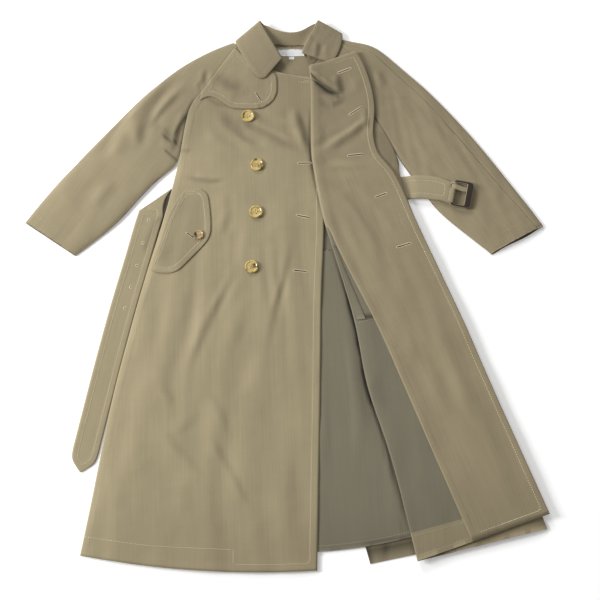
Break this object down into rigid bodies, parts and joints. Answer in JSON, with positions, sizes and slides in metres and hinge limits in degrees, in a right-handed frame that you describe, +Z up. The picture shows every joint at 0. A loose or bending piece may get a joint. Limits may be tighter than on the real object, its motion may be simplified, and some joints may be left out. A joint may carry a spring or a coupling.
{
  "type": "trench coat",
  "caption": "Double-breasted khaki raglan trench coat laid on its back, left front folded open, belt with a covered buckle passing under the back",
  "frame": {"origin": "centre of the coat's plan, on the floor that its back lies on", "axes": "+Y runs from the hem to the collar, +X to the right of someone who looks down at the coat with its collar away from them, which is the wearer's left, +Z up from the floor"},
  "size_m": [1.105, 1.2338, 0.0208],
  "materials": {
    "coat_cloth": "khaki cotton gabardine, fine twill weave, slight sheen",
    "cloth_wrong_side": "gray-khaki wrong side of the gabardine, matt",
    "label_cloth": "white woven tape, bare",
    "horn_button": "mottled yellow-brown horn look, polished",
    "dark_horn_button": "dark brown horn look, polished",
    "buckle_resin": "dark brown resin with a pale rim, polished",
    "tongue_resin": "cloth-covered prong, khaki"
  },
  "bodies": {
    "root": {"back_right": "coat_cloth", "back_left": "coat_cloth", "pleat_underlay": "cloth_wrong_side", "back_neck_facing": "coat_cloth", "label": "label_cloth", "size_tab": "label_cloth", "front_right": "coat_cloth", "front_left": "coat_cloth", "facing_left": "coat_cloth", "pocket_bag_left": "cloth_wrong_side", "pocket_flap_right": "coat_cloth", "storm_flap_right": "coat_cloth", "collar_stand": "coat_cloth", "collar_fall": "coat_cloth", "sleeve_right_front": "coat_cloth", "sleeve_right_back": "coat_cloth", "sleeve_left_front": "coat_cloth", "sleeve_left_back": "coat_cloth", "button_front_1": "horn_button", "button_front_2": "horn_button", "button_front_3": "horn_button", "button_front_4": "horn_button", "button_pocket": "dark_horn_button", "belt": "coat_cloth", "buckle_frame": "buckle_resin", "buckle_tongue": "tongue_resin"}
  },
  "joints": []
}
